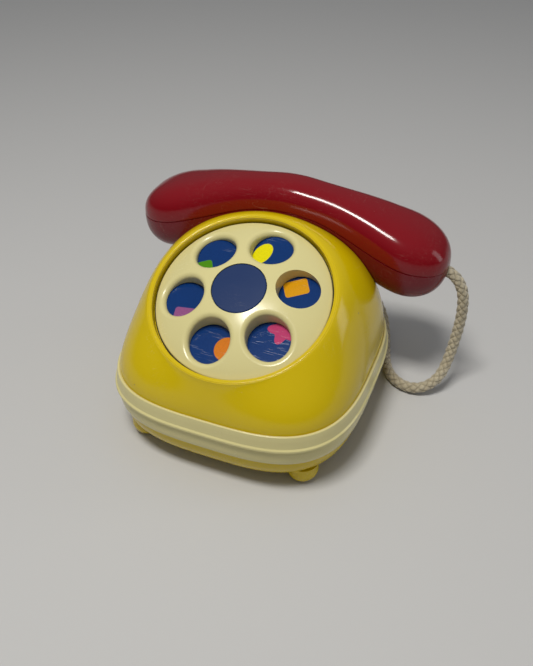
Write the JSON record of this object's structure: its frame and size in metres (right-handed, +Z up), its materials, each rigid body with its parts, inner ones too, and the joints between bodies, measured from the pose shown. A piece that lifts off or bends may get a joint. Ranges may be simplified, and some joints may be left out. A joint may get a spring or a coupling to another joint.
{
  "type": "toy rotary telephone",
  "caption": "Toddler's toy telephone: wedge-shaped housing on a rounded square base, domed turning dial with finger holes, lift-off handset and braided cord.",
  "frame": {"origin": "on the surface under the feet, below the middle of the telephone without its cord", "axes": "+X along the handset to the caller's right, +Y away from the caller, +Z up"},
  "size_m": [0.1857, 0.1597, 0.1087],
  "materials": {
    "yellow_plastic": "glossy moulded yellow",
    "cream_plastic": "glossy moulded cream",
    "blue_plastic": "glossy blue with fine scratches",
    "picture_print": "glossy blue with printed shapes",
    "red_plastic": "glossy deep red",
    "dark_red_plastic": "glossy darker red",
    "white_plastic": "natural moulded",
    "steel": "plated",
    "bell_steel": "bright plated",
    "brass": "turned",
    "rubber": "plain",
    "braided_cotton": "braided"
  },
  "bodies": {
    "base": {"housing_shell": "yellow_plastic", "base_band": "cream_plastic", "bottom_pan": "yellow_plastic", "case_screws": "steel", "picture_disc": "picture_print", "bell_gong": "bell_steel", "bell_bush": "rubber", "bell_screw": "steel", "striker_pin": "steel", "pin_clip": "steel", "cord": "braided_cotton", "base_cord_knot": "braided_cotton"},
    "dial": {"dial_ring": "cream_plastic", "dial_cap": "blue_plastic", "dial_axle": "steel", "star_wheel": "white_plastic", "dial_washer": "steel", "dial_screw": "steel"},
    "striker": {"striker_arm": "white_plastic", "striker_head": "brass", "striker_spring": "steel"},
    "handset": {"handset_upper_shell": "red_plastic", "handset_lower_shell": "dark_red_plastic", "handset_screws": "steel", "handset_cord_knot": "braided_cotton"}
  },
  "joints": [
    {"name": "dial_spin", "type": "hinge", "parent": "base", "child": "dial", "pos_m": [0, -0.01868, 0.077], "axis": [0, -0.4415, 0.8973], "continuous": true},
    {"name": "striker_swing", "type": "hinge", "parent": "base", "child": "striker", "pos_m": [0.024, 0.00007, 0.07062], "axis": [0, -0.4415, 0.8973], "range_deg": [-1, 7], "stiffness_Nm_per_rad": 0.002},
    {"name": "handset_lift", "type": "slide", "parent": "base", "child": "handset", "axis": [0, 0, 1], "range_m": [0, 0.06], "deforming": ["cord"]}
  ]
}
